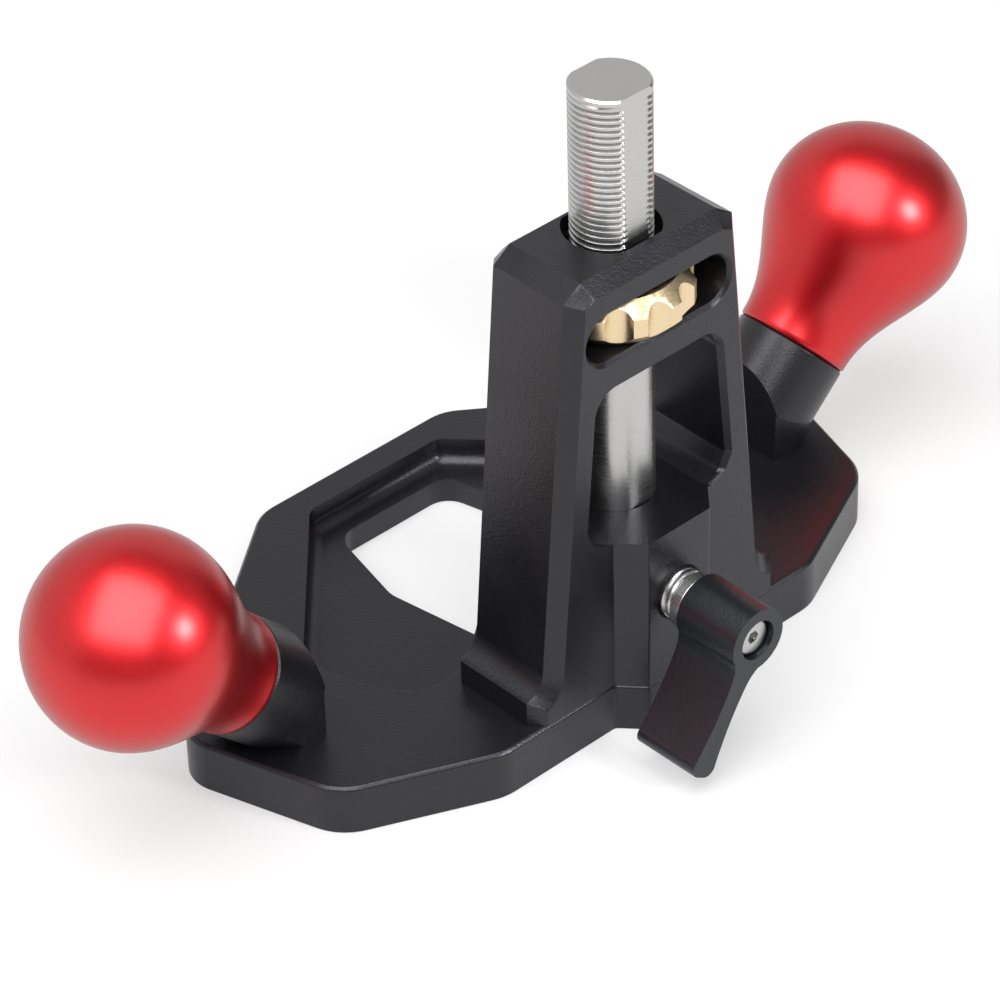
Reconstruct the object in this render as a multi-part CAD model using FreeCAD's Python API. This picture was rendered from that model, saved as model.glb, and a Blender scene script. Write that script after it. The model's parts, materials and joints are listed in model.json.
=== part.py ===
import FreeCAD, Part
import math
import os

from FreeCAD import Vector as V

os.makedirs("parts", exist_ok=True)

# Hand router plane. Millimetres. While modelling, the origin is on the post's axis at the sole:
# +X runs along the wings, +Y to the rear, +Z up. Every piece is moved by FRAME_SHIFT when it is
# written, so that the origin of the finished tool is the middle of its base.

# ---- Driving dimensions ----
PLATE_T = 8.3                       # thickness of the base plate
PLATE_REAR = (19.1, 59.5)           # half-outline corners: rear, wing rear, wing front, nose
PLATE_WING_REAR = (62.9, 26.6)
PLATE_WING_FRONT = (54.8, 0.9)
PLATE_NOSE = (31.9, -9.6)
FRONT_Y = -9.6                      # front edge of the plate and front face of the tower
BACK_Y = 8.9                        # back face of the tower
BOSS_Y = -13.4                      # front of the lock boss
BOSS_HALF = 6.2                     # half width of its front face
BOSS_ROOT = 9.6                     # half width where it meets the tower
BOSS_TOP = 34.5
PLATE_EDGE = 0.5                    # small chamfer round the top edge

POCKET_DEPTH = 4.0
POCKET_REAR = (13.4, 54.1)          # half-outline corners of the pocket, from rear to front
POCKET_WIDE_REAR = (36.8, 28.9)
POCKET_WIDE_FRONT = (38.0, 23.6)
POCKET_WAIST = (34.9, 14.6)
POCKET_FRONT_HALF = 30.8
POCKET_FLOOR_R = 2.0                # fillet between its wall and floor
MOUTH_REAR = (11.2, 50.2)           # the same for the mouth in its floor
MOUTH_WIDE = (15.1, 33.7)
MOUTH_WAIST = (12.7, 17.5)
POST_WELL_R = 8.2                   # clearance round the post under the tower

TOWER_TOP = 80.4
TOWER_TOP_HALF = 16.5               # half width at the top of the slanted sides
TOWER_CROWN_HALF = 13.3             # half width of the top face
TOWER_FOOT_HALF = 21.9              # half width just above the foot
TOWER_FOOT_Z = 16.6
TOE_HALF = 25.3                     # half width of the foot
TOE_Z = 12.4
TOWER_CHAMFER = 2.2

SLOT_LOW, SLOT_HIGH = 66.5, 74.3    # nut slot
SLOT_HALF = 13.9
WINDOW_TOP = 61.0
WINDOW_TOP_HALF = 11.75
WINDOW_LOW_HALF = 13.9
WINDOW_SHOULDER_Z = 38.4
WINDOW_SILL = (12.6, 35.8)          # corner between shoulder and boss
WINDOW_EDGE = 0.8                   # chamfer round window and slot, front and back
SLOT_EDGE = 0.6

POST_R = 6.0                        # M12 x 1 post
POST_TOP = 104.2
POST_TIP = 0.3                      # chamfer round its top
POST_LOW = 3.1
POST_KEY = 5.15                     # half distance over the two upper flats
POST_KEY_LOW_Z = 62.0               # where thread and upper flats end
LOCK_FLAT = 5.6                     # depth of the lower flat, on the front
LOCK_FLAT_TOP_Z = 48.0
RUN = 0.05                          # running clearance on a radius
KEYHOLE_R = 7.25
KEYHOLE_HALF = 5.25
KEYHOLE_MOUTH_HALF = 6.2            # its flats are set back above KEYHOLE_MOUTH_Z
KEYHOLE_MOUTH_Z = 77.9

NUT_R = 12.0
NUT_T = 7.4
NUT_Z = 0.5 * (SLOT_LOW + SLOT_HIGH)
NUT_CHAMFER = 2.2
NUT_FLUTES = 12
NUT_FLUTE_R = 2.4
NUT_FLUTE_DEPTH = 1.35
NUT_PHASE = 20.5                    # angle of one flute at rest, degrees from +X

CUTTER_T = 3.0
CUTTER_HALF = 6.35
CUTTER_TIP_Y = 22.5

KNOB_X, KNOB_Y, KNOB_Z = 58.1, 20.0, 21.45   # middle of the knob's lower end
KNOB_LEAN = math.radians(46.7)               # lean of its axis out from the vertical
NECK_R = 9.2
NECK_EDGE = 0.35
BALL_R = 16.1
BALL_AT = 22.7                               # distance of the widest ring from the neck
KNOB_LEN = 37.7
STEM_R = 9.1
STEM_FACE_X = 46.75                          # upright cut on the inner side of each stem
STEM_HALF_Y = 7.6                            # half width over the lower flats
STEM_STEP_Z = 29.9                           # height from which the flats slope down
STEM_STEP_LEAN = 33.3

LOCK_Z = 22.5                       # height of the lock screw's axis
LOCK_R = 4.0                        # M8 lock screw
HUB_BACK_Y, HUB_FRONT_Y = -17.85, -29.4
HUB_R = 5.1
ARM_LEAN = math.radians(32.0)
ARM_LEN = 22.2
WAIST_HALF, TIP_HALF = 1.62, 2.35
WEB_BACK_Y, WEB_FRONT_Y = -20.4, -21.6   # wall in the hub that the spring bears on
CAP_BACK_Y = -26.7                       # underside of the cap screw's head
CAP_R, CAP_T = 3.05, 1.7
CAP_SOCKET_R, CAP_SOCKET_DEPTH = 1.05, 1.3
THREAD_END_Y = -15.6                     # front end of the lock screw's thread
PAD_R, PAD_T, SPIGOT_R = 3.3, 2.6, 1.4
GAP = 0.03                               # between faces that only just clear each other
COLLAR_R, COLLAR_BORE, COLLAR_T = 4.6, 3.6, 2.1
SPLINE_ROOT, SPLINE_H, SPLINE_TEETH = 3.05, 0.25, 20
SPLINE_LEN = 2.35
INSERT_R, HUB_BORE, SCREW_BORE = 4.1, 3.2, 2.1
COIL_R, WIRE_R, COIL_TURNS = 2.6, 0.25, 4

FIXING_X, FIXING_Y = 16.0, 4.5      # tower screws
DOWEL_X = 21.6
STEM_SCREW_X = 52.0
STEM_PIN_X, STEM_PIN_Y = 51.0, 25.0
PIN_Y = 4.2                         # pin that keeps the cutter square

SINK = 0.2                          # how far screw heads lie above the sole
RIM = 0.3                           # straight edge of a countersunk head
M4_R, M4_HEAD_R, M4_SOCKET_R = 2.0, 3.8, 1.3
M5_R, M5_HEAD_R, M5_SOCKET_R = 2.5, 4.7, 1.7
STUD_R = 4.0                        # stud between knob and stem
DOWEL_R = 1.5
PIN_R = 1.0
FIT = 0.02                          # play of threads, pins and dowels on a radius

FRAME_SHIFT = V(0, -0.5 * (PLATE_REAR[1] + HUB_FRONT_Y), 0)

X, Y, Z = V(1, 0, 0), V(0, 1, 0), V(0, 0, 1)


# ---- Helpers ----
def save(name, shape):
    """Move a piece into the tool's frame and write it as one STEP file."""
    out = shape.copy()
    out.translate(FRAME_SHIFT)
    out.exportStep("parts/" + name + ".step")


def cyl(radius, low, length, axis=Z):
    return Part.makeCylinder(radius, length, low, axis)


def cone(r_low, r_high, low, length, axis=Z):
    return Part.makeCone(r_low, r_high, length, low, axis)


def box(low, high):
    size = high - low
    return Part.makeBox(size.x, size.y, size.z, low)


def rounded(points, radii):
    """Closed wire through the corner points, each corner rounded with its own radius."""
    edges, starts, ends = [], [], []
    count = len(points)
    for i in range(count):
        corner, r = points[i], radii[i]
        a = (points[i - 1] - corner).normalize()
        b = (points[(i + 1) % count] - corner).normalize()
        if r <= 0:
            starts.append(corner)
            ends.append(corner)
            edges.append(None)
            continue
        half = 0.5 * a.getAngle(b)
        back = r / math.tan(half)
        centre = corner + (a + b).normalize() * (r / math.sin(half))
        mid = centre + (corner - centre).normalize() * r
        starts.append(corner + a * back)
        ends.append(corner + b * back)
        edges.append(Part.Arc(starts[-1], mid, ends[-1]).toShape())
    wire = []
    for i in range(count):
        if edges[i] is not None:
            wire.append(edges[i])
        following = starts[(i + 1) % count]
        if (following - ends[i]).Length > 1e-6:
            wire.append(Part.makeLine(ends[i], following))
    return Part.Wire(Part.__sortEdges__(wire))


def slab(points, radii, direction):
    return Part.Face(rounded(points, radii)).extrude(direction)


def mirror_points(half):
    """Complete a half outline (given from rear to front, +X side) with its mirror image."""
    return half + [(-x, y) for x, y in reversed(half)]


def mirrored(shape):
    return shape.mirror(V(0, 0, 0), X)


def group(shapes):
    return Part.makeCompound(shapes)


def sunk_screw(at, shank_r, head_r, length, socket_r, axis=Z):
    """Flat-head socket screw with its head at `at`, pointing along the axis."""
    head_t, tip = head_r - shank_r, 0.4
    screw = cyl(head_r, at, RIM, axis)
    screw = screw.fuse(cone(head_r, shank_r, at + axis * RIM, head_t, axis))
    screw = screw.fuse(cyl(shank_r, at + axis * RIM, length - RIM - tip, axis))
    screw = screw.fuse(cone(shank_r, shank_r - tip, at + axis * (length - tip), tip, axis))
    return screw.cut(hex_hole(at, socket_r, 0.6 * head_t + RIM, axis)).removeSplitter()


def sunk_hole(at, shank_r, head_r, length, play=0.1, axis=Z):
    """Clearance for sunk_screw through the piece that it holds down."""
    r, head_t = shank_r + play, head_r - shank_r
    hole = cyl(head_r + play, at - axis, 1 + RIM, axis)
    hole = hole.fuse(cone(head_r + play, r, at + axis * RIM, head_t, axis))
    return hole.fuse(cyl(r, at, length, axis))


def hex_hole(at, radius, depth, axis):
    side = X if abs(axis.x) < 0.5 else Y
    other = axis.cross(side)
    ring = [at + (side * math.cos(math.radians(60 * k)) + other * math.sin(math.radians(60 * k)))
            * radius for k in range(7)]
    return Part.Face(Part.makePolygon(ring)).extrude(axis * depth)


def edges_where(shape, test):
    return [e for e in shape.Edges if test(e)]


# ---- Base plate ----
def plate_outline(height):
    half = [PLATE_REAR, PLATE_WING_REAR, PLATE_WING_FRONT, PLATE_NOSE,
            (BOSS_ROOT, FRONT_Y), (BOSS_HALF, BOSS_Y)]
    bends = [8.0, 6.5, 9.0, 9.0, 1.2, 1.0]
    points = [V(x, y, 0) for x, y in mirror_points(half)]
    return slab(points, bends + bends[::-1], V(0, 0, height))


def pocket():
    half = [POCKET_REAR, POCKET_WIDE_REAR, POCKET_WIDE_FRONT, POCKET_WAIST,
            (POCKET_FRONT_HALF, BACK_Y)]
    bends = [2.6, 5.0, 7.0, 10.0, 5.0]
    floor_z = PLATE_T - POCKET_DEPTH
    points = [V(x, y, floor_z) for x, y in mirror_points(half)]
    cut = slab(points, bends + bends[::-1], V(0, 0, POCKET_DEPTH + 1))
    floor_edges = edges_where(cut, lambda e: e.BoundBox.ZMax < floor_z + 0.01)
    return cut.makeFillet(POCKET_FLOOR_R, floor_edges)


def mouth():
    half = [MOUTH_REAR, MOUTH_WIDE, MOUTH_WAIST, (POST_WELL_R, 0.0)]
    points = [V(x, y, -1) for x, y in mirror_points(half)]
    opening = slab(points, [4.0, 6.0, 10.0, 0, 0, 10.0, 6.0, 4.0], V(0, 0, PLATE_T + 2))
    return opening.fuse(cyl(POST_WELL_R, V(0, 0, -1), PLATE_T + 2)).removeSplitter()


def base_plate():
    plate = plate_outline(PLATE_T)
    rim = edges_where(plate, lambda e: e.BoundBox.ZMin > PLATE_T - 0.01 and
                      not (e.BoundBox.YMax < FRONT_Y + 0.2 and abs(e.CenterOfMass.x) < 12))
    plate = plate.makeChamfer(PLATE_EDGE, rim)
    plate = plate.cut(pocket()).cut(mouth())
    for sx in (-1, 1):
        for sy in (-1, 1):
            plate = plate.cut(sunk_hole(V(sx * FIXING_X, sy * FIXING_Y, SINK), M4_R, M4_HEAD_R, 20))
        plate = plate.cut(cyl(DOWEL_R + FIT, V(sx * DOWEL_X, 0, 3.3), 10))
        plate = plate.cut(sunk_hole(V(sx * STEM_SCREW_X, KNOB_Y, SINK), M5_R, M5_HEAD_R, 20))
        plate = plate.cut(cyl(DOWEL_R + FIT, V(sx * STEM_PIN_X, STEM_PIN_Y, 4.3), 10))
    return plate


# ---- Tower ----
def tower_outline(y, inset):
    """Front view of the tower at depth y, drawn in by `inset` on all sides but the bottom."""
    flare_r = TOWER_FOOT_Z - TOE_Z + inset
    slope = math.tan(math.radians(22.5)) * inset
    edges, ends = [], []
    for s in (1, -1):
        centre = V(s * (TOWER_FOOT_HALF + TOWER_FOOT_Z - TOE_Z), y, TOWER_FOOT_Z)
        toe_x = min(TOE_HALF, abs(centre.x)) - inset
        reach = abs(centre.x) - toe_x
        toe = V(s * toe_x, y, TOWER_FOOT_Z - math.sqrt(flare_r ** 2 - reach ** 2))
        low = V(s * toe_x, y, PLATE_T)
        flare_top = centre - V(s * flare_r, 0, 0)
        turn = 0.5 * (math.pi + math.atan2(TOWER_FOOT_Z - toe.z, -reach))
        flare_mid = centre + V(s * flare_r * math.cos(turn), 0, -flare_r * math.sin(turn))
        shoulder = V(s * (TOWER_TOP_HALF - inset), y, TOWER_TOP - TOWER_CHAMFER - slope)
        crown = V(s * (TOWER_CROWN_HALF - slope), y, TOWER_TOP - inset)
        edges += [Part.makeLine(low, toe), Part.Arc(toe, flare_mid, flare_top).toShape(),
                  Part.makeLine(flare_top, shoulder), Part.makeLine(shoulder, crown)]
        ends.append((low, crown))
    edges += [Part.makeLine(ends[0][0], ends[1][0]), Part.makeLine(ends[0][1], ends[1][1])]
    return Part.Wire(Part.__sortEdges__(edges))


def tower_body():
    """Slanted block with a flared foot; chamfered round its front and back faces."""
    front, back = FRONT_Y + TOWER_CHAMFER, BACK_Y - TOWER_CHAMFER
    body = Part.Face(tower_outline(front, 0)).extrude(V(0, back - front, 0))
    for y, end in ((front, FRONT_Y), (back, BACK_Y)):
        loft = Part.makeLoft([tower_outline(y, 0), tower_outline(end, TOWER_CHAMFER)], True, True)
        body = body.fuse(loft)
    return body.removeSplitter()


def lock_boss():
    plan = [V(BOSS_ROOT, FRONT_Y, PLATE_T), V(BOSS_HALF, BOSS_Y, PLATE_T),
            V(-BOSS_HALF, BOSS_Y, PLATE_T), V(-BOSS_ROOT, FRONT_Y, PLATE_T),
            V(-BOSS_ROOT, FRONT_Y + 4, PLATE_T), V(BOSS_ROOT, FRONT_Y + 4, PLATE_T)]
    return slab(plan, [0, 0.5, 0.5, 0, 0, 0], V(0, 0, BOSS_TOP - PLATE_T))


def through(outline, edge):
    """Opening from front to back of the tower, chamfered at both faces; `outline` draws it."""
    cut = Part.Face(outline(FRONT_Y - 5, 0)).extrude(V(0, 30, 0))
    for face, inward in ((FRONT_Y, 1), (BACK_Y, -1)):
        flare = [outline(face + inward * edge, 0), outline(face - inward * edge, 2 * edge)]
        cut = cut.fuse(Part.makeLoft(flare, True, True))
    return cut.removeSplitter()


def window_outline(y, grown):
    half = [(WINDOW_TOP_HALF + grown, WINDOW_TOP + grown), (WINDOW_LOW_HALF + grown, WINDOW_SHOULDER_Z),
            (WINDOW_SILL[0] + grown, WINDOW_SILL[1]), (BOSS_ROOT + grown, BOSS_TOP)]
    bends = [3.5 + grown, 0.8, 1.5, 0]
    points = [V(x, y, z) for x, z in mirror_points(half)]
    return rounded(points, bends + bends[::-1])


def slot_outline(y, grown):
    half, low, high = SLOT_HALF + grown, SLOT_LOW - grown, SLOT_HIGH + grown
    points = [V(half, y, high), V(half, y, low), V(-half, y, low), V(-half, y, high)]
    return rounded(points, [0.5 * (high - low) - 0.01] * 4)


def keyhole():
    """Round hole with two flats in the tower's top, which keeps the post from turning."""
    hole = cyl(KEYHOLE_R, V(0, 0, SLOT_HIGH - 0.5), TOWER_TOP - SLOT_HIGH + 1)
    guide = box(V(-10, -KEYHOLE_HALF, 0), V(10, KEYHOLE_HALF, TOWER_TOP + 5))
    wide = box(V(-10, -KEYHOLE_MOUTH_HALF, KEYHOLE_MOUTH_Z), V(10, KEYHOLE_MOUTH_HALF, TOWER_TOP + 5))
    return hole.common(guide.fuse(wide)).removeSplitter()


def tower():
    body = tower_body().fuse(lock_boss()).removeSplitter()
    body = body.cut(through(window_outline, WINDOW_EDGE)).cut(through(slot_outline, SLOT_EDGE))
    body = body.cut(keyhole())
    body = body.cut(cyl(POST_R + RUN, V(0, 0, 0), BOSS_TOP + 1))
    body = body.cut(cyl(POST_R + 0.6, V(0, 0, WINDOW_TOP - 1), SLOT_LOW - WINDOW_TOP + 2))
    body = body.cut(cyl(LOCK_R + RUN, V(0, BOSS_Y - 1, LOCK_Z), 12, Y))
    mouth_of_thread = cone(LOCK_R + 0.5, LOCK_R, V(0, BOSS_Y - 0.01, LOCK_Z), 0.5, Y)
    body = body.cut(mouth_of_thread)
    for sx in (-1, 1):
        for sy in (-1, 1):
            body = body.cut(cyl(M4_R + FIT, V(sx * FIXING_X, sy * FIXING_Y, 0), 21.5))
        body = body.cut(cyl(DOWEL_R + FIT, V(sx * DOWEL_X, 0, 0), 12.2))
    return body


def tower_screws():
    return group([sunk_screw(V(sx * FIXING_X, sy * FIXING_Y, SINK), M4_R, M4_HEAD_R, 20, M4_SOCKET_R)
                  for sx in (-1, 1) for sy in (-1, 1)])


def dowels():
    return group([cyl(DOWEL_R, V(sx * DOWEL_X, 0, 3.4), 8.5) for sx in (-1, 1)])


# ---- Knobs and their stems ----
def knob_axis():
    return V(math.sin(KNOB_LEAN), 0, math.cos(KNOB_LEAN))


def neck_point(along=0.0):
    return V(KNOB_X, KNOB_Y, KNOB_Z) + knob_axis() * along


def stem():
    """Leaning bar, cut upright on the inner side and narrowed by two flats near the plate."""
    bar = cyl(STEM_R, neck_point(-40), 40, knob_axis())
    room = box(V(STEM_FACE_X, KNOB_Y - 20, PLATE_T), V(90, KNOB_Y + 20, 60))
    bar = bar.common(room)
    step = Part.makeBox(60, 20, 40, V(0, STEM_HALF_Y, -40))
    step = step.fuse(Part.makeBox(60, 20, 40, V(0, -STEM_HALF_Y - 20, -40)))
    step.rotate(V(0, 0, 0), Y, STEM_STEP_LEAN)
    step.translate(V(STEM_FACE_X - 20, KNOB_Y, STEM_STEP_Z))
    bar = bar.cut(step)
    rim = [e for e in bar.Edges if abs((e.CenterOfMass - neck_point()).dot(knob_axis())) < 0.01]
    bar = bar.makeChamfer(0.3, rim)
    bar = bar.cut(cyl(STUD_R + FIT, neck_point(-6.5), 10, knob_axis()))
    bar = bar.cut(cyl(M5_R + FIT, V(STEM_SCREW_X, KNOB_Y, 0), 15.0))
    return bar.cut(cyl(DOWEL_R + FIT, V(STEM_PIN_X, STEM_PIN_Y, 0), 12.5))


def knob():
    """Pear-shaped grip turned about its own axis, with a blind threaded hole."""
    points = [V(NECK_R, 0, NECK_EDGE)]
    for k in range(1, 7):
        swell = (0.5 - 0.5 * math.cos(math.pi * k / 6)) ** 1.1
        points.append(V(NECK_R + (BALL_R - NECK_R) * swell, 0, BALL_AT * k / 6))
    for k in range(1, 7):
        turn = 0.5 * math.pi * k / 6
        points.append(V(BALL_R * max(math.cos(turn), 0.0), 0,
                        BALL_AT + (KNOB_LEN - BALL_AT) * math.sin(turn)))
    points[-1].x = 0
    curve = Part.BSplineCurve()
    curve.interpolate(points, InitialTangent=V(0.05, 0, 1), FinalTangent=V(-1, 0, 0))
    inner = V(NECK_R - NECK_EDGE, 0, 0)
    profile = [curve.toShape(), Part.makeLine(points[-1], V(0, 0, 0)),
               Part.makeLine(V(0, 0, 0), inner), Part.makeLine(inner, points[0])]
    grip = Part.Face(Part.Wire(Part.__sortEdges__(profile))).revolve(V(0, 0, 0), Z, 360)
    grip = Part.Solid(grip) if grip.ShapeType != "Solid" else grip
    grip = grip.cut(cyl(STUD_R + FIT, V(0, 0, -1), 16))
    grip.rotate(V(0, 0, 0), Y, math.degrees(KNOB_LEAN))
    grip.translate(neck_point(0.05))
    return grip


def knob_stud():
    return cyl(STUD_R, neck_point(-6.2), 20.4, knob_axis())


def stem_screw():
    return sunk_screw(V(STEM_SCREW_X, KNOB_Y, SINK), M5_R, M5_HEAD_R, 14, M5_SOCKET_R)


def stem_pin():
    return cyl(DOWEL_R, V(STEM_PIN_X, STEM_PIN_Y, 4.4), 7.9)


# ---- Post, depth nut and cutter ----
def cutter_post():
    bar = cyl(POST_R, V(0, 0, POST_LOW), POST_TOP - POST_LOW)
    rim = edges_where(bar, lambda e: e.BoundBox.ZMin > POST_TOP - 0.01)
    bar = bar.makeChamfer(POST_TIP, rim)
    for s in (-1, 1):
        side = box(V(-10, min(s * POST_KEY, s * 10), POST_KEY_LOW_Z),
                   V(10, max(s * POST_KEY, s * 10), POST_TOP + 1))
        bar = bar.cut(side)
    bar = bar.cut(box(V(-10, -10, 0), V(10, -LOCK_FLAT, LOCK_FLAT_TOP_Z)))
    bar = bar.cut(cyl(M4_R + FIT, V(0, 0, 0), POST_LOW + 11))
    return bar.cut(cyl(PIN_R + FIT, V(0, PIN_Y, 0), POST_LOW + 4))


def depth_nut():
    """Thumb nut: chamfered disc with flutes round its rim."""
    low = NUT_Z - 0.5 * NUT_T
    nut = cyl(NUT_R, V(0, 0, low), NUT_T)
    nut = nut.makeChamfer(NUT_CHAMFER, [e for e in nut.Edges if e.Closed and e.BoundBox.ZLength < 0.01])
    for k in range(NUT_FLUTES):
        angle = math.radians(360.0 * k / NUT_FLUTES + NUT_PHASE)
        reach = NUT_R + NUT_FLUTE_R - NUT_FLUTE_DEPTH
        nut = nut.cut(cyl(NUT_FLUTE_R, V(reach * math.cos(angle), reach * math.sin(angle), low - 1),
                          NUT_T + 2))
    return nut.cut(cyl(POST_R + RUN, V(0, 0, low - 1), NUT_T + 2))


def cutter():
    """Flat blade on the post's lower end, bevelled on top at its cutting edge."""
    low = POST_LOW - CUTTER_T
    blade = cyl(POST_R, V(0, 0, low), CUTTER_T)
    blade = blade.fuse(box(V(-POST_R, 0, low), V(POST_R, 9, POST_LOW)))
    blade = blade.fuse(box(V(-CUTTER_HALF, 9, low), V(CUTTER_HALF, CUTTER_TIP_Y, POST_LOW)))
    rise = CUTTER_T / math.tan(math.radians(25))
    wedge = Part.makePolygon([V(-10, CUTTER_TIP_Y + 0.2, low), V(-10, CUTTER_TIP_Y - rise, POST_LOW),
                              V(-10, CUTTER_TIP_Y - rise, POST_LOW + 1),
                              V(-10, CUTTER_TIP_Y + 1, POST_LOW + 1), V(-10, CUTTER_TIP_Y + 1, low),
                              V(-10, CUTTER_TIP_Y + 0.2, low)])
    blade = blade.cut(Part.Face(wedge).extrude(V(20, 0, 0)))
    blade = blade.cut(sunk_hole(V(0, 0, low + SINK), M4_R, M4_HEAD_R, 10))
    return blade.cut(cyl(PIN_R + FIT, V(0, PIN_Y, low + 1.0), 5)).removeSplitter()


def cutter_screw():
    return sunk_screw(V(0, 0, POST_LOW - CUTTER_T + SINK), M4_R, M4_HEAD_R, 12, M4_SOCKET_R)


def cutter_pin():
    return cyl(PIN_R, V(0, PIN_Y, POST_LOW - CUTTER_T + 1.1), 5.5)


# ---- Lock screw and lever (all on one axis, out of the front of the boss) ----
def on_axis(y):
    return V(0, y, LOCK_Z)


def lock_pad():
    """Soft pad that bears on the post's flat, with a spigot into the end of the screw."""
    tip = -LOCK_FLAT - GAP
    pad = cyl(PAD_R, on_axis(tip - PAD_T), PAD_T, Y)
    return pad.fuse(cyl(SPIGOT_R, on_axis(tip - PAD_T - 1.9), 2.0, Y)).removeSplitter()


def lock_stud():
    """Threaded screw with a splined head that the lever's insert slides on."""
    back = -LOCK_FLAT - GAP - PAD_T - RUN
    stud = cyl(LOCK_R, on_axis(THREAD_END_Y), back - THREAD_END_Y, Y)
    stud = stud.fuse(cyl(COLLAR_BORE, on_axis(HUB_BACK_Y + 0.1), THREAD_END_Y - HUB_BACK_Y, Y))
    stud = stud.fuse(spline_bar(0.0, HUB_BACK_Y - SPLINE_LEN, HUB_BACK_Y + 0.3))
    stud = stud.cut(cyl(SPIGOT_R + RUN, on_axis(back - 2.2), 3, Y))
    return stud.cut(cyl(M4_R, on_axis(HUB_BACK_Y - 3), 7.6, Y)).removeSplitter()


def spline_bar(play, y_low, y_high):
    """Toothed bar along the lock axis, used for the splined head and its mating hole."""
    ring = []
    for k in range(SPLINE_TEETH):
        for part, r in ((0.0, SPLINE_ROOT + play), (0.45, SPLINE_ROOT + SPLINE_H + play)):
            angle = 2 * math.pi * (k + part) / SPLINE_TEETH
            ring.append(V(r * math.cos(angle), y_low, LOCK_Z + r * math.sin(angle)))
    ring.append(ring[0])
    return Part.Face(Part.makePolygon(ring)).extrude(V(0, y_high - y_low, 0))


def lock_collar():
    """Plain ring that covers the run-out of the thread."""
    ring = cyl(COLLAR_R, on_axis(HUB_BACK_Y + 0.1), COLLAR_T, Y)
    ring = ring.makeChamfer(0.3, [e for e in ring.Edges if e.Closed and e.BoundBox.YLength < 0.01])
    return ring.cut(cyl(COLLAR_BORE, on_axis(HUB_BACK_Y - 1), 5, Y))


def arm_point(along, across):
    """Point of the lever's arm: along its centre line from the screw's axis, and across it."""
    down = V(-math.sin(ARM_LEAN), 0, -math.cos(ARM_LEAN))
    side = V(math.cos(ARM_LEAN), 0, -math.sin(ARM_LEAN))
    return V(0, HUB_FRONT_Y, LOCK_Z) + down * along + side * across


def lever_arm():
    flank = [(4.3, 2.75), (6.2, 1.95), (8.6, WAIST_HALF + 0.06), (11.3, WAIST_HALF),
             (14.5, WAIST_HALF + 0.1), (17.5, WAIST_HALF + 0.36), (20.0, TIP_HALF - 0.05)]
    edges = []
    for s in (1, -1):
        curve = Part.BSplineCurve()
        curve.interpolate([arm_point(t, s * w) for t, w in flank])
        edges.append(curve.toShape())
        shoulder = arm_point(20.0, s * (TIP_HALF - 0.05))
        corner = arm_point(ARM_LEN - 0.45, s * (TIP_HALF - 0.45))
        end = arm_point(ARM_LEN, s * (TIP_HALF - 1.6))
        edges.append(Part.Arc(shoulder, corner, end).toShape())
    edges.append(Part.makeLine(arm_point(ARM_LEN, TIP_HALF - 1.6), arm_point(ARM_LEN, 1.6 - TIP_HALF)))
    edges.append(Part.makeLine(arm_point(4.3, 2.75), arm_point(4.3, -2.75)))
    face = Part.Face(Part.Wire(Part.__sortEdges__(edges)))
    return face.extrude(V(0, HUB_BACK_Y - HUB_FRONT_Y, 0))


def lock_lever():
    lever = cyl(HUB_R, on_axis(HUB_FRONT_Y), HUB_BACK_Y - HUB_FRONT_Y, Y)
    lever = lever.fuse(lever_arm()).removeSplitter()
    lever = lever.cut(cyl(HUB_BORE, on_axis(HUB_FRONT_Y - 1), WEB_FRONT_Y - HUB_FRONT_Y + 1, Y))
    lever = lever.cut(cyl(SCREW_BORE, on_axis(WEB_FRONT_Y - 1), 5, Y))
    return lever.cut(cyl(INSERT_R, on_axis(WEB_BACK_Y), 5, Y))


def lever_insert():
    """Steel ring pressed into the hub, toothed inside to fit the splined head."""
    ring = cyl(INSERT_R, on_axis(WEB_BACK_Y), HUB_BACK_Y - WEB_BACK_Y, Y)
    return ring.cut(spline_bar(RUN, WEB_BACK_Y - 1, HUB_BACK_Y + 1))


def cap_screw():
    """Low round-headed socket screw that keeps the lever on."""
    head = cyl(CAP_R, on_axis(CAP_BACK_Y - CAP_T), CAP_T, Y)
    front = [e for e in head.Edges if e.Closed and e.BoundBox.YMax < CAP_BACK_Y - CAP_T + 0.01]
    head = head.makeFillet(0.55, front)
    screw = head.fuse(cyl(M4_R, on_axis(CAP_BACK_Y - 0.1), HUB_BACK_Y + 4.4 - CAP_BACK_Y, Y))
    socket = hex_hole(on_axis(CAP_BACK_Y - CAP_T), CAP_SOCKET_R, CAP_SOCKET_DEPTH, Y)
    return screw.cut(socket).removeSplitter()


def lever_spring():
    """Coil that pushes the lever back onto the splines; it sits between head and web."""
    length = WEB_FRONT_Y - CAP_BACK_Y - 0.6
    path = Part.makeHelix(length / COIL_TURNS, length, COIL_R)
    start = Part.Wire(Part.Circle(V(COIL_R, 0, 0), Y, WIRE_R).toShape())
    coil = Part.Wire(path).makePipeShell([start], True, True)
    coil.rotate(V(0, 0, 0), X, -90)
    coil.translate(on_axis(CAP_BACK_Y + 0.3))
    return coil


# ---- Pieces ----
save("base_plate", base_plate())
save("tower", tower())
save("tower_screws", tower_screws())
save("tower_dowels", dowels())
save("stem_left", mirrored(stem()))
save("stem_right", stem())
save("stem_screws", group([stem_screw(), mirrored(stem_screw())]))
save("stem_pins", group([stem_pin(), mirrored(stem_pin())]))
save("knob_left", mirrored(knob()))
save("knob_right", knob())
save("knob_studs", group([knob_stud(), mirrored(knob_stud())]))
save("depth_nut", depth_nut())
save("cutter_post", cutter_post())
save("cutter", cutter())
save("cutter_screw", cutter_screw())
save("cutter_pin", cutter_pin())
save("lock_pad", lock_pad())
save("lock_stud", lock_stud())
save("lock_collar", lock_collar())
save("lock_lever", lock_lever())
save("lever_insert", lever_insert())
save("cap_screw", cap_screw())
save("lever_spring", lever_spring())
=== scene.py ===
import json
import math

import bmesh
import bpy
from mathutils import Matrix, Vector


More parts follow.
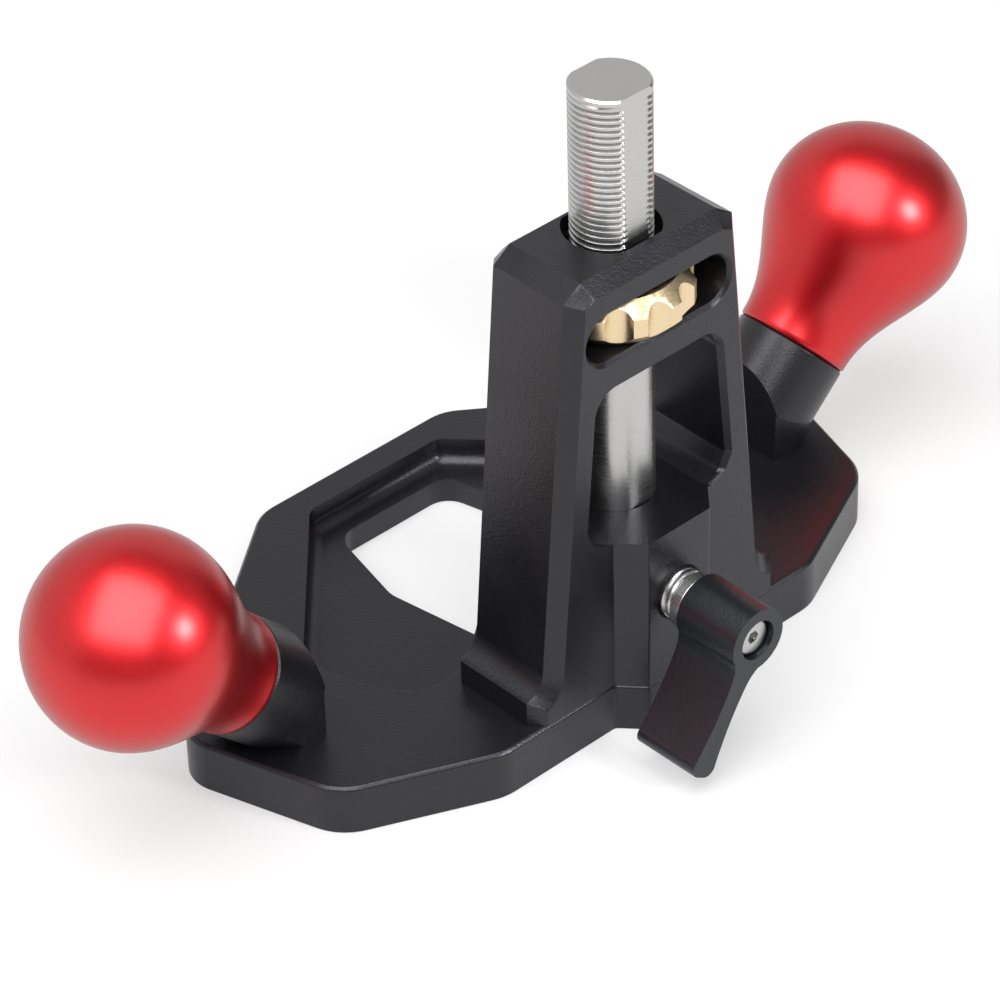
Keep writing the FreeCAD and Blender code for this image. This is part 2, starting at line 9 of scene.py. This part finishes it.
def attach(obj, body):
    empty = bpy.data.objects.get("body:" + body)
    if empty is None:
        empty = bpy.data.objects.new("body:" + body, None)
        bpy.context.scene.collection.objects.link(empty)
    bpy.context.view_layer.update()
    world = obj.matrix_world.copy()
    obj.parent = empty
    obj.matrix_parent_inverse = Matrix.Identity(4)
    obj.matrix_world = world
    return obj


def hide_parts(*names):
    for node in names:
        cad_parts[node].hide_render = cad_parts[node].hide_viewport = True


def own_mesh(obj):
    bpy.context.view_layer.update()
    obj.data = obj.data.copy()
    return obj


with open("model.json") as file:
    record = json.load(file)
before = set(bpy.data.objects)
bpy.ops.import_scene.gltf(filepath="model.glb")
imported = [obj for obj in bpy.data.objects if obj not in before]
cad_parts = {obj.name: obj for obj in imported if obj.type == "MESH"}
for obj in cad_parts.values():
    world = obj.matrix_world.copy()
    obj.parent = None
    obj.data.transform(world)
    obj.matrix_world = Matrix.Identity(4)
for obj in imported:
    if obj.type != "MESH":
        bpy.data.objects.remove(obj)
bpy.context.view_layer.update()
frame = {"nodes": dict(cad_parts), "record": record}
nodes = frame["nodes"]

MM = 0.001
MERGE = 0.0005 * MM                 # points of a CAD mesh closer than this are one point
MERGE_THREAD = 0.0008 * MM          # the same for a thread's points
MERGE_RINGS = 0.002 * MM            # the same for a ring mesh's points
FLAT_WITHIN = math.radians(0.15)    # faces closer to one plane than this are joined
SHARP_FROM = math.radians(24.0)     # edges sharper than this are broken
SMOOTH_BELOW = 35.0                 # degrees; edges less sharp than this are shaded smooth
NO_LIMIT = 1.0                      # metres; a radius wider than any bar here
NODE_SLOT = {s["node"]: s["material_slot"] for s in frame["record"]["subparts"]}
NODE_BODY = {n: body for body, members in frame["record"]["behaviour"]["bodies"].items()
             for n in members}


# ---- Mesh helpers ----
def add_piece(name, mesh, body, stands_for):
    """Put a finished mesh in the scene as one piece of the object."""
    piece = bpy.data.objects.new(name, mesh)
    bpy.context.scene.collection.objects.link(piece)
    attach(piece, body)
    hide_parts(*stands_for)
    return piece


def mesh_from(name, bm, smooth_below):
    """Mesh with smooth shading, kept sharp where two faces meet at a larger angle."""
    bmesh.ops.recalc_face_normals(bm, faces=bm.faces)
    for face in bm.faces:
        face.smooth = True
    limit = math.radians(smooth_below)
    for edge in bm.edges:
        edge.smooth = len(edge.link_faces) == 2 and edge.calc_face_angle(0.0) < limit
    mesh = bpy.data.meshes.new(name)
    bm.to_mesh(mesh)
    bm.free()
    return mesh


def cad_mesh(name):
    """The mesh of a CAD node, ready to be worked on."""
    bm = bmesh.new()
    bm.from_mesh(nodes[name].data)
    bmesh.ops.remove_doubles(bm, verts=bm.verts, dist=MERGE)
    return bm


def break_edges(bm, width, sharp_from):
    """Join the flat faces, then break every edge sharper than an angle with a round bevel."""
    bmesh.ops.dissolve_limit(bm, angle_limit=FLAT_WITHIN, verts=bm.verts, edges=bm.edges)
    sharp = [e for e in bm.edges if len(e.link_faces) == 2 and e.calc_face_angle(0.0) > sharp_from]
    bmesh.ops.bevel(bm, geom=sharp, offset=width, segments=2, profile=0.5, affect="EDGES",
                    clamp_overlap=True)


def dressed(name, bevel):
    """A CAD node's shape with its sharp edges broken; the flat faces keep their shading."""
    bm = cad_mesh(name)
    break_edges(bm, bevel, SHARP_FROM)
    mesh = mesh_from(name + "_body", bm, SMOOTH_BELOW)
    piece = add_piece(name + "_body", mesh, NODE_BODY[name], [name])
    modifier = piece.modifiers.new("weighted_normals", "WEIGHTED_NORMAL")
    modifier.keep_sharp = True
    modifier.weight = 90
    return piece


def ring_mesh(name, rings, smooth_below):
    """Skin over a list of rings, closed with a cap at each end."""
    bm = bmesh.new()
    rows = [[bm.verts.new(point) for point in ring] for ring in rings]
    count = len(rows[0])
    for low, high in zip(rows, rows[1:]):
        for i in range(count):
            j = (i + 1) % count
            bm.faces.new((low[i], low[j], high[j], high[i]))
    bm.faces.new(rows[0][::-1])
    bm.faces.new(rows[-1])
    bmesh.ops.remove_doubles(bm, verts=bm.verts, dist=MERGE_RINGS)
    return mesh_from(name, bm, smooth_below)


def along(axis, at):
    """Matrix that stands a part made about +Z on a point, along an axis."""
    turn = Vector((0, 0, 1)).rotation_difference(Vector(axis)).to_matrix().to_4x4()
    return Matrix.Translation(at) @ turn


def joined(name, meshes):
    """One mesh from several."""
    bm = bmesh.new()
    for mesh in meshes:
        bm.from_mesh(mesh)
    whole = bpy.data.meshes.new(name)
    bm.to_mesh(whole)
    bm.free()
    return whole


THREAD_PROFILE = ((0.0, 0.0), (0.38, 0.0), (0.66, 1.0), (0.76, 1.0))   # share of pitch, of depth
RUN_OUT = 0.35                      # of a pitch, over which the groove fades at the upper end
THREAD_SMOOTH_BELOW = 28.0


def thread(name, radius, pitch, low, high, depth, angles, limit):
    """Helical thread. Rows follow the helix, so that crests and flanks stay crisp.

    `limit` gives the largest radius allowed at an angle, which cuts flats on the bar.
    """
    turns = int(math.ceil((high - low) / pitch)) + 2
    bm = bmesh.new()
    rows = []
    for turn in range(turns):
        for phase, deep in THREAD_PROFILE:
            row = []
            for angle in angles:
                z = low + pitch * (turn - 1 + phase + angle / (2 * math.pi))
                fade = min(1.0, max(0.0, (z - low) / pitch),
                           max(0.0, (high - z) / (RUN_OUT * pitch)))
                r = min(radius - depth * deep * fade, limit(angle))
                row.append(bm.verts.new((r * math.cos(angle), r * math.sin(angle),
                                         min(max(z, low), high))))
            rows.append(row)
    step, last = len(THREAD_PROFILE), len(angles)
    for k in range(len(rows) - 1):
        for i in range(last):
            if i + 1 < last:
                quad = (rows[k][i], rows[k][i + 1], rows[k + 1][i + 1], rows[k + 1][i])
            elif k + 1 + step < len(rows):
                quad = (rows[k][i], rows[k + step][0], rows[k + 1 + step][0], rows[k + 1][i])
            else:
                continue
            bm.faces.new(quad)
    bmesh.ops.remove_doubles(bm, verts=bm.verts, dist=MERGE_THREAD)
    bmesh.ops.dissolve_degenerate(bm, edges=bm.edges, dist=MERGE_THREAD)
    return mesh_from(name, bm, THREAD_SMOOTH_BELOW)


# ---- Camera, floor and lights ----
CAMERA_AT = Vector((-375.765, -405.772, 440.051)) * MM
CAMERA_AZIMUTH, CAMERA_ELEVATION = math.radians(-42.110), math.radians(36.932)
CAMERA_ROLL = math.radians(-1.735)
CAMERA_LENS, SENSOR = 166.92, 36.0


def make_camera():
    back = Vector((math.sin(CAMERA_AZIMUTH) * math.cos(CAMERA_ELEVATION),
                   -math.cos(CAMERA_AZIMUTH) * math.cos(CAMERA_ELEVATION),
                   math.sin(CAMERA_ELEVATION)))
    level = Vector((0, 0, 1)).cross(back).normalized()
    upright = back.cross(level)
    right = level * math.cos(CAMERA_ROLL) + upright * math.sin(CAMERA_ROLL)
    up = -level * math.sin(CAMERA_ROLL) + upright * math.cos(CAMERA_ROLL)
    data = bpy.data.cameras.new("camera")
    data.lens, data.sensor_width = CAMERA_LENS, SENSOR
    data.clip_start, data.clip_end = 0.05, 20.0
    camera = bpy.data.objects.new("camera", data)
    bpy.context.scene.collection.objects.link(camera)
    camera.matrix_world = Matrix((
        (right.x, up.x, back.x, CAMERA_AT.x), (right.y, up.y, back.y, CAMERA_AT.y),
        (right.z, up.z, back.z, CAMERA_AT.z), (0, 0, 0, 1)))
    bpy.context.scene.camera = camera


FLOOR_HALF, FLOOR_GREY, FLOOR_GLOW = 6.0, 0.33, 0.42
FLOOR_GAP = 0.05 * MM               # floor to sole, so that the two faces don't coincide


def make_floor():
    bm = bmesh.new()
    bmesh.ops.create_grid(bm, x_segments=2, y_segments=2, size=FLOOR_HALF)
    mesh = bpy.data.meshes.new("floor")
    bm.to_mesh(mesh)
    bm.free()
    floor = bpy.data.objects.new("floor", mesh)
    bpy.context.scene.collection.objects.link(floor)
    material, _, shader = new_material("floor_white")
    shader.inputs["Base Color"].default_value = (FLOOR_GREY, FLOOR_GREY, FLOOR_GREY, 1)
    shader.inputs["Roughness"].default_value = 0.9
    shader.inputs["Emission Color"].default_value = (1, 1, 1, 1)
    shader.inputs["Emission Strength"].default_value = FLOOR_GLOW
    mesh.materials.append(material)
    floor.location.z = -FLOOR_GAP


LIGHTS_AIM = Vector((0, 0, 0.04))
LIGHTS_AWAY = 1.1


def square_light(name, towards, size, power):
    """Square soft box at a fixed distance, in the direction given, facing the object."""
    data = bpy.data.lights.new(name, "AREA")
    data.shape, data.size, data.size_y = "RECTANGLE", size, size
    data.energy = power
    light = bpy.data.objects.new(name, data)
    bpy.context.scene.collection.objects.link(light)
    light.location = LIGHTS_AIM + Vector(towards) * LIGHTS_AWAY
    light.rotation_euler = (LIGHTS_AIM - light.location).to_track_quat("-Z", "Y").to_euler()


BACKDROP, DIM = 0.80, 0.20          # brightness of the backdrop and of the room
BACKDROP_STARTS = (-0.05, 0.30)     # direction's Y over which it comes in
BACKDROP_ENDS = (0.58, 0.80)        # direction's Z over which it goes out


def make_world():
    """A white backdrop behind the object, up to middle height, in a dim room."""
    world = bpy.data.worlds.new("studio")
    bpy.context.scene.world = world
    world.use_nodes = True
    tree = world.node_tree
    where = node(tree, "ShaderNodeTexCoord")
    split = node(tree, "ShaderNodeSeparateXYZ")
    behind = smooth_step(tree, *BACKDROP_STARTS, 0.0, 1.0)
    below = smooth_step(tree, *BACKDROP_ENDS, 1.0, 0.0)
    both = node(tree, "ShaderNodeMath", operation="MULTIPLY")
    span = smooth_step(tree, 0.0, 1.0, DIM, BACKDROP)
    join(tree, (where, "Generated"), (split, "Vector"), (split, "Y"), (behind, "Value"),
         (split, "Z"), (below, "Value"), (behind, "Result"), (both, 0),
         (below, "Result"), (both, 1), (both, "Value"), (span, "Value"),
         (span, "Result"), (tree.nodes["Background"], "Strength"))
    tree.nodes["Background"].inputs["Color"].default_value = (1, 1, 1, 1)


def make_lights():
    make_world()
    square_light("overhead", (-0.37, -0.19, 0.909), 1.3, 28.0)
    square_light("front_right", (0.30, -0.82, 0.49), 0.24, 7.0)
    bpy.context.scene.view_settings.view_transform = "Standard"


# ---- Materials ----
def new_material(name):
    material = bpy.data.materials.new(name)
    material.use_nodes = True
    return material, material.node_tree, material.node_tree.nodes["Principled BSDF"]


def node(tree, kind, **values):
    made = tree.nodes.new(kind)
    for key, value in values.items():
        if hasattr(made, key):
            setattr(made, key, value)
        else:
            made.inputs[key.replace("_", " ")].default_value = value
    return made


def join(tree, *chain):
    """Link (node, output) to (node, input) pairs."""
    for (a, out), (b, into) in zip(chain[::2], chain[1::2]):
        tree.links.new(a.outputs[out], b.inputs[into])


def smooth_step(tree, from_min, from_max, to_min, to_max):
    span = node(tree, "ShaderNodeMapRange", interpolation_type="SMOOTHSTEP")
    for key, value in (("From Min", from_min), ("From Max", from_max), ("To Min", to_min),
                       ("To Max", to_max)):
        span.inputs[key].default_value = value
    return span


def object_place(tree, scale=(1, 1, 1)):
    where = node(tree, "ShaderNodeTexCoord")
    mapping = node(tree, "ShaderNodeMapping")
    mapping.inputs["Scale"].default_value = scale
    join(tree, (where, "Object"), (mapping, "Vector"))
    return mapping


def fine_grain(tree, shader, per_mm, depth_mm, strength, scale=(1, 1, 1), detail=2.0):
    """Noise bump: the texture of a blasted or brushed surface."""
    place = object_place(tree, scale)
    noise = node(tree, "ShaderNodeTexNoise", Scale=per_mm / MM, Detail=detail, Roughness=0.6)
    bump = node(tree, "ShaderNodeBump", Strength=strength, Distance=depth_mm * MM)
    join(tree, (place, "Vector"), (noise, "Vector"), (noise, "Fac"), (bump, "Height"),
         (bump, "Normal"), (shader, "Normal"))
    return place, noise, bump


def vary_roughness(tree, shader, noise, low, high):
    """Let the roughness follow a noise, whose values lie mostly between 0.3 and 0.7."""
    span = node(tree, "ShaderNodeMapRange")
    for key, value in (("From Min", 0.3), ("From Max", 0.7), ("To Min", low), ("To Max", high)):
        span.inputs[key].default_value = value
    join(tree, (noise, "Fac"), (span, "Value"), (span, "Result"), (shader, "Roughness"))


def black_anodised(name, base, roughness, arcs=False):
    """Black anodised aluminium: almost no colour of its own, a satin sheen and a fine grain."""
    material, tree, shader = new_material(name)
    shader.inputs["Base Color"].default_value = (*base, 1)
    shader.inputs["IOR"].default_value = 1.52
    shader.inputs["Specular Tint"].default_value = (0.90, 0.90, 1.0, 1)
    place, _, bump = fine_grain(tree, shader, 2.4, 0.05, 0.8)
    drift = node(tree, "ShaderNodeTexNoise", Scale=0.09 / MM, Detail=4.0)
    join(tree, (place, "Vector"), (drift, "Vector"))
    vary_roughness(tree, shader, drift, roughness - 0.03, roughness + 0.05)
    if arcs:
        rings = node(tree, "ShaderNodeTexWave", wave_type="RINGS", rings_direction="Z",
                     Scale=0.45 / MM, Distortion=0.4, Detail=1.0)
        join(tree, (place, "Vector"), (rings, "Vector"))
        cut = node(tree, "ShaderNodeBump", Strength=0.25, Distance=0.003 * MM)
        join(tree, (rings, "Fac"), (cut, "Height"), (cut, "Normal"), (bump, "Normal"))
    return material


def red_anodised(name):
    """Dyed anodising over blasted metal: a tinted clear layer on a rough metallic one."""
    material, tree, shader = new_material(name)
    _, noise, bump = fine_grain(tree, shader, 3.0, 0.003, 0.6)
    shader.inputs["Base Color"].default_value = (0.66, 0.016, 0.034, 1)
    shader.inputs["Metallic"].default_value = 1.0
    shader.inputs["Specular Tint"].default_value = (0.22, 0.11, 0.12, 1)
    shader.inputs["Coat Weight"].default_value = 1.0
    shader.inputs["Coat Roughness"].default_value = 0.30
    shader.inputs["Coat IOR"].default_value = 1.5
    shader.inputs["Coat Tint"].default_value = (0.95, 0.20, 0.26, 1)
    vary_roughness(tree, shader, noise, 0.38, 0.47)
    join(tree, (bump, "Normal"), (shader, "Coat Normal"))
    return material


def metal(name, colour, roughness, grain, depth_mm, per_mm=2.0):
    """Bare metal with lines drawn out along one direction, as turning or brushing leaves."""
    material, tree, shader = new_material(name)
    shader.inputs["Metallic"].default_value = 1.0
    shader.inputs["Base Color"].default_value = (*colour, 1)
    _, noise, _ = fine_grain(tree, shader, per_mm, depth_mm, 0.5, grain, 3.0)
    vary_roughness(tree, shader, noise, roughness - 0.06, roughness + 0.08)
    return material


# ---- Build ----
make_camera()
make_floor()
make_lights()

BLACK, BLACK_ROUGHNESS = (0.0035, 0.0035, 0.0042), 0.33
FINISH = {
    "black_anodised": black_anodised("black_anodised", BLACK, BLACK_ROUGHNESS),
    "red_anodised": red_anodised("red_anodised"),
    "lever_black": black_anodised("lever_black", (0.003, 0.004, 0.005), 0.36),
    "stainless": metal("stainless", (0.50, 0.495, 0.49), 0.29, (0.15, 0.15, 5.0), 0.003),
    "bright_steel": metal("bright_steel", (0.5, 0.5, 0.51), 0.25, (1, 1, 8.0), 0.003),
    "tool_steel": metal("tool_steel", (0.45, 0.45, 0.46), 0.24, (8.0, 0.3, 1.0), 0.003),
    "black_steel": metal("black_steel", (0.03, 0.03, 0.033), 0.4, (1, 1, 1), 0.003),
    "brass": metal("brass", (0.76, 0.60, 0.38), 0.30, (0.4, 0.4, 6.0), 0.001, 3.0)}
PLATE_BLACK = black_anodised("black_plate", BLACK, BLACK_ROUGHNESS, arcs=True)


# The knobs: turned shapes, sized in mm as in the CAD
KNOB_AT = Vector((58.1, 4.95, 21.45))
KNOB_LEAN = math.radians(46.7)
NECK_R, BALL_R, BALL_AT, KNOB_LEN = 9.2, 16.1, 22.7, 37.7
NECK_ROUND = ((0.35, 0.05), (0.28, 0.07), (0.1, 0.25), (0.0, 0.4))   # (inside the neck, height)
NECK_SHAPE, NECK_STEPS, CROWN_STEPS = 1.1, 32, 40
POLE_R, KNOB_AROUND, KNOB_SMOOTH_BELOW = 0.25, 128, 60.0


def knob_rings():
    """Rings from the neck's rounded end, through the swelling to the ball, and over its crown."""
    half = [(NECK_R - inside, height) for inside, height in NECK_ROUND]
    start = NECK_ROUND[-1][1]
    for k in range(1, NECK_STEPS + 1):
        share = k / NECK_STEPS
        swell = (0.5 - 0.5 * math.cos(math.pi * share)) ** NECK_SHAPE
        half.append((NECK_R + (BALL_R - NECK_R) * swell, start + (BALL_AT - start) * share))
    for k in range(1, CROWN_STEPS):
        turn = 0.5 * math.pi * k / CROWN_STEPS
        half.append((BALL_R * math.cos(turn), BALL_AT + (KNOB_LEN - BALL_AT) * math.sin(turn)))
    half.append((POLE_R, KNOB_LEN))
    around = [2 * math.pi * i / KNOB_AROUND for i in range(KNOB_AROUND)]
    return [[Vector((r * math.cos(a), r * math.sin(a), z)) * MM for a in around] for r, z in half]


for side, name in ((-1, "knob_left"), (1, "knob_right")):
    mesh = ring_mesh(name + "_turned", knob_rings(), KNOB_SMOOTH_BELOW)
    axis = (side * math.sin(KNOB_LEAN), 0, math.cos(KNOB_LEAN))
    mesh.transform(along(axis, Vector((side * KNOB_AT.x, KNOB_AT.y, KNOB_AT.z)) * MM))
    piece = add_piece(name + "_turned", mesh, NODE_BODY[name], [name])
    piece.data.materials.append(FINISH["red_anodised"])

# The post: CAD body below, real thread with two flats above
POST_AXIS = Vector((0, -15.05, 0)) * MM
THREAD_FROM, THREAD_TO, POST_TOP = 62.0 * MM, 103.35 * MM, 104.2 * MM
POST_R, POST_FLAT = 6.0 * MM, 5.15 * MM
POST_PITCH, POST_DEPTH = 1.0 * MM, 0.52 * MM
POST_CHAMFER, POST_BEVEL, POST_SHARP_FROM = 0.3 * MM, 0.12 * MM, 0.4


def flats(angle):
    """Distance from the post's axis to its front or rear flat, at an angle round the axis."""
    s = abs(math.sin(angle))
    return POST_FLAT / s if s > 0.5 else NO_LIMIT


def post_angles():
    """Angles of the post's points, closer together where the flats cut the thread."""
    fan = list(range(0, 59, 4)) + [59.1, 61, 63.5, 66, 68.5, 71, 72.8, 78, 84]
    full = fan + [180 - a for a in reversed(fan) if a > 0] + [90]
    full = sorted(set(full))
    return [math.radians(a) for a in sorted(full + [a + 180 for a in full if a < 180])]


angles = post_angles()
threaded = thread("post_thread", POST_R, POST_PITCH, THREAD_FROM, THREAD_TO, POST_DEPTH, angles,
                  flats)
tip = [[Vector((min(r, flats(a)) * math.cos(a), min(r, flats(a)) * math.sin(a), z)) for a in angles]
       for r, z in ((POST_R, THREAD_TO), (POST_R, POST_TOP - POST_CHAMFER),
                    (POST_R - POST_CHAMFER, POST_TOP))]
tip_mesh = ring_mesh("post_tip", tip, 25.0)
lower = cad_mesh("cutter_post")
bmesh.ops.bisect_plane(lower, geom=lower.verts[:] + lower.edges[:] + lower.faces[:],
                       plane_co=(0, 0, THREAD_FROM), plane_no=(0, 0, 1), clear_outer=True)
bmesh.ops.holes_fill(lower, edges=[e for e in lower.edges if e.is_boundary], sides=0)
break_edges(lower, POST_BEVEL, POST_SHARP_FROM)
lower_mesh = mesh_from("post_lower", lower, SMOOTH_BELOW)
for mesh in (threaded, tip_mesh):
    mesh.transform(Matrix.Translation(POST_AXIS))
post = add_piece("cutter_post_threaded", joined("cutter_post_threaded",
                 (lower_mesh, threaded, tip_mesh)), "post", ["cutter_post"])
post.data.materials.append(FINISH["stainless"])

# The lock screw: CAD body at both ends, real thread where it shows between boss and collar
SCREW_PITCH, SCREW_R, SCREW_DEPTH = 1.25 * MM, 4.0 * MM, 0.55 * MM
SCREW_FROM, SCREW_TO = -15.6 * MM, -13.7 * MM
SCREW_POINTS = 72
SCREW_AXIS = Vector((0, -15.05, 22.5)) * MM


def screw_end(name, at, outward):
    """The part of the lock screw's CAD mesh on one side of an upright plane across Y."""
    bm = cad_mesh("lock_stud")
    bmesh.ops.bisect_plane(bm, geom=bm.verts[:] + bm.edges[:] + bm.faces[:],
                           plane_co=(0, at, 0), plane_no=(0, outward, 0), clear_outer=True)
    bmesh.ops.holes_fill(bm, edges=[e for e in bm.edges if e.is_boundary], sides=0)
    return mesh_from(name, bm, 24.0)


turn_angles = [math.radians(360 // SCREW_POINTS * i) for i in range(SCREW_POINTS)]
screw_thread = thread("screw_thread", SCREW_R, SCREW_PITCH, SCREW_FROM, SCREW_TO, SCREW_DEPTH,
                      turn_angles, lambda angle: NO_LIMIT)
screw_thread.transform(along((0, 1, 0), SCREW_AXIS))
screw_back = screw_end("screw_back", SCREW_AXIS.y + SCREW_TO, -1)
screw_front = screw_end("screw_front", SCREW_AXIS.y + SCREW_FROM, 1)
screw = add_piece("lock_stud_threaded", joined("lock_stud_threaded", (screw_back, screw_thread,
                  screw_front)), NODE_BODY["lock_stud"], ["lock_stud"])
screw.data.materials.append(FINISH["stainless"])

# The rest: CAD shapes with their edges broken, by these widths in mm
BEVEL = {"base_plate": 0.16, "tower": 0.16, "depth_nut": 0.55, "lock_lever": 0.32,
         "cutter": 0.05, "lock_collar": 0.06}
OTHER_BEVEL = 0.08
MADE_ABOVE = ("knob_left", "knob_right", "cutter_post", "lock_stud")
for name in nodes:
    if name in MADE_ABOVE:
        continue
    piece = dressed(name, BEVEL.get(name, OTHER_BEVEL) * MM)
    piece.data.materials.clear()
    piece.data.materials.append(PLATE_BLACK if name == "base_plate" else FINISH[NODE_SLOT[name]])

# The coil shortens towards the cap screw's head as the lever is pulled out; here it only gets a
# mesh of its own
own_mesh(bpy.data.objects["lever_spring_body"])
